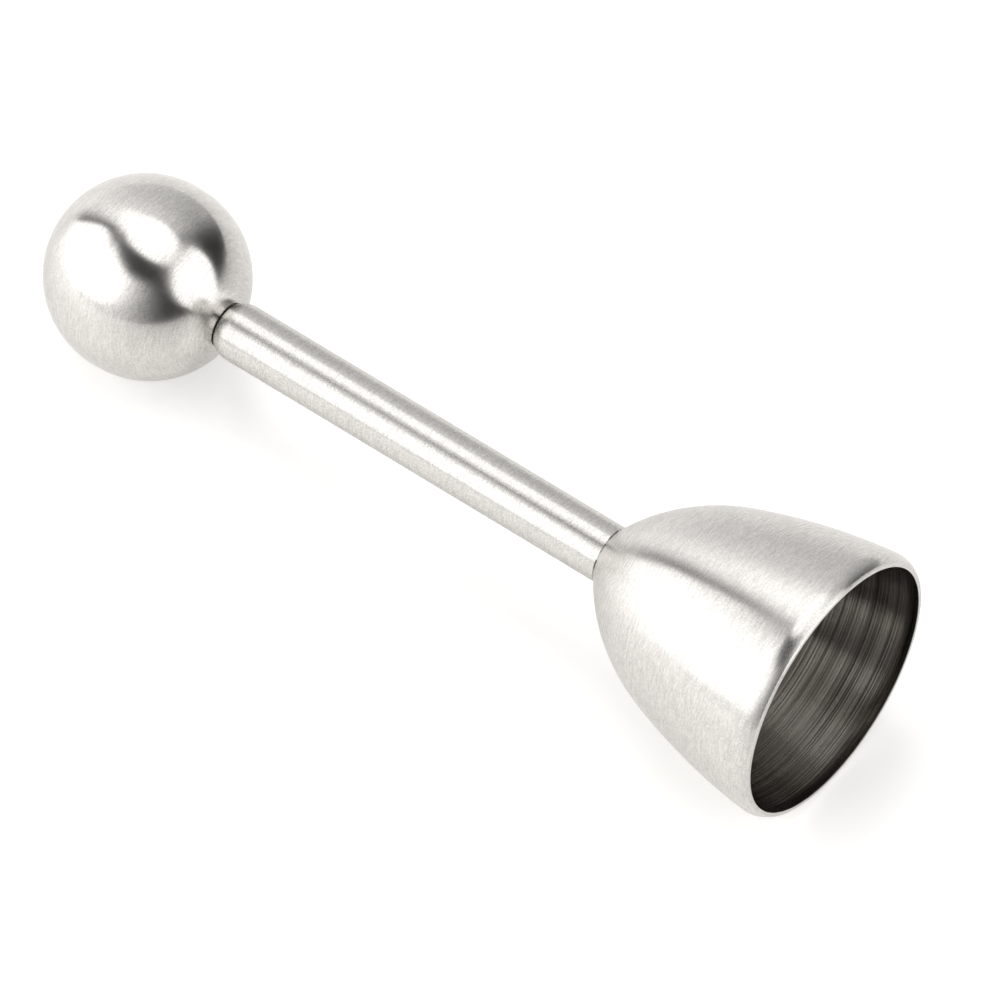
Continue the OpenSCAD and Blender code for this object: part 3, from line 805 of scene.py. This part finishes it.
# coated white board, with a sheen that shows most at a low angle
board = bpy.data.materials.new("coatedWhiteBoard")
board.use_nodes = True
tree = board.node_tree
tree.nodes.clear()
path = addNode(tree, "ShaderNodeLightPath")
mirrored = addNode(tree, "ShaderNodeMath",
                   {0: path.outputs["Is Glossy Ray"], 1: path.outputs["Is Transmission Ray"]},
                   operation="MAXIMUM")
spot = addNode(tree, "ShaderNodeTexCoord")
reach = addNode(tree, "ShaderNodeVectorMath", {0: spot.outputs["Object"]}, operation="LENGTH")
toCamera, toSteel = [addNode(tree, "ShaderNodeMapRange",
                             {"Value": reach.outputs["Value"], "From Min": studio["reach"][0],
                              "From Max": studio["reach"][1], "To Min": near, "To Max": far})
                     for near, far in (studio["whiteToCamera"], studio["whiteToSteel"])]
lift = addNode(tree, "ShaderNodeMath", {0: path.outputs["Is Camera Ray"], 1: toCamera.outputs[0]},
               operation="MULTIPLY")
lift = addNode(tree, "ShaderNodeMath", {0: mirrored.outputs[0], 1: toSteel.outputs[0], 2: lift.outputs[0]},
               operation="MULTIPLY_ADD")
coat = addNode(tree, "ShaderNodeBsdfPrincipled",
               {"Base Color": linearColour(studio["floorColour"]), "Roughness": studio["floorRoughness"],
                "Specular IOR Level": studio["floorSheen"]})
glow = addNode(tree, "ShaderNodeEmission", {"Strength": lift.outputs[0]})
both = addNode(tree, "ShaderNodeAddShader", {0: coat.outputs[0], 1: glow.outputs[0]})
addNode(tree, "ShaderNodeOutputMaterial", {"Surface": both.outputs[0]})
floorMesh.materials.append(board)

# the room round the softboxes: dark, with the white sweep's far side behind the tool
world = bpy.data.worlds.new("studioRoom")
bpy.context.scene.world = world
world.use_nodes = True
tree = world.node_tree
tree.nodes.clear()
way = addNode(tree, "ShaderNodeTexCoord")
parts = addNode(tree, "ShaderNodeSeparateXYZ", {0: way.outputs["Generated"]})
azimuth = addNode(tree, "ShaderNodeMath", {0: parts.outputs["Y"], 1: parts.outputs["X"]},
                  operation="ARCTAN2")
turn = addNode(tree, "ShaderNodeMath", {0: azimuth.outputs[0], 1: 0.5 / pi, 2: 0.5},
               operation="MULTIPLY_ADD")
raised = addNode(tree, "ShaderNodeMath", {0: parts.outputs["Z"], 1: studio["leanHeight"]},
                 operation="SUBTRACT")
firstEnd, lastEnd = studio["leanAzimuths"]
lean = addNode(tree, "ShaderNodeMapRange",
               {"Value": turn.outputs[0], "From Min": 0.5 + firstEnd / 360, "From Max": 0.5 + lastEnd / 360,
                "To Min": studio["lean"][0] / 360, "To Max": studio["lean"][1] / 360})
leaned = addNode(tree, "ShaderNodeMath", {0: raised.outputs[0], 1: lean.outputs[0], 2: turn.outputs[0]},
                 operation="MULTIPLY_ADD")
rings = {}
for part, along in (("sweep", leaned), ("spill", turn)):
    ring = addNode(tree, "ShaderNodeValToRGB", {"Fac": along.outputs[0]})
    stops = ring.color_ramp.elements
    stops.remove(stops[1])
    for i, (angle, value) in enumerate(studio[part]):
        stop = stops[0] if i == 0 else stops.new(1.0)
        stop.position = 0.5 + angle / 360
        stop.color = [value / studio["peak"]] * 3 + [1.0]
    rings[part] = ring
lowest, highest = studio["hazeHeights"]
hazy = addNode(tree, "ShaderNodeMapRange",
               {"Value": parts.outputs["Z"], "From Min": lowest, "From Max": highest,
                "To Max": studio["haze"]}, interpolation_type="SMOOTHSTEP")
behind = addNode(tree, "ShaderNodeVectorMath",
                 {0: way.outputs["Generated"], 1: direction(studio["hazeAzimuth"], 0)},
                 operation="DOT_PRODUCT")
behind = addNode(tree, "ShaderNodeMapRange",
                 {"Value": behind.outputs["Value"], "From Min": -studio["hazeEdge"],
                  "From Max": studio["hazeEdge"]})
hazy = addNode(tree, "ShaderNodeMath", {0: hazy.outputs[0], 1: behind.outputs[0]}, operation="MULTIPLY")
sweep = addNode(tree, "ShaderNodeMath",
                {0: rings["sweep"].outputs["Color"], 1: studio["peak"], 2: hazy.outputs[0]},
                operation="MULTIPLY_ADD")
# the spill is fullest at the height of the softbox's middle
lowest, full, lowShare = studio["spillLow"]
under = addNode(tree, "ShaderNodeMapRange",
                {"Value": parts.outputs["Z"], "From Min": lowest, "From Max": full, "To Min": lowShare})
gone, going = studio["spillHigh"]
over = addNode(tree, "ShaderNodeMapRange",
               {"Value": parts.outputs["Z"], "From Min": gone, "From Max": going},
               interpolation_type="SMOOTHSTEP")
spill = addNode(tree, "ShaderNodeMath", {0: under.outputs[0], 1: over.outputs[0]}, operation="MULTIPLY")
spill = addNode(tree, "ShaderNodeMath", {0: spill.outputs[0], 1: studio["peak"]}, operation="MULTIPLY")
spill = addNode(tree, "ShaderNodeMath", {0: spill.outputs[0], 1: rings["spill"].outputs["Color"]},
                operation="MULTIPLY")
room = addNode(tree, "ShaderNodeMath", {0: sweep.outputs[0], 1: spill.outputs[0]}, operation="MAXIMUM")
path = addNode(tree, "ShaderNodeLightPath")
mirrored = addNode(tree, "ShaderNodeMath",
                   {0: path.outputs["Is Glossy Ray"], 1: path.outputs["Is Transmission Ray"]},
                   operation="MAXIMUM")
shown = addNode(tree, "ShaderNodeMix", {0: mirrored.outputs[0], 2: studio["plainRoom"], 3: room.outputs[0]},
                data_type="FLOAT")
shown = addNode(tree, "ShaderNodeMix",
                {0: path.outputs["Is Camera Ray"], 2: shown.outputs[0], 3: 1.0}, data_type="FLOAT")
sky = addNode(tree, "ShaderNodeBackground", {"Color": linearColour("FFFFFF"), "Strength": shown.outputs[0]})
addNode(tree, "ShaderNodeOutputWorld", {"Surface": sky.outputs[0]})
bpy.context.scene.view_settings.view_transform = "Standard"
print("camera and studio set")
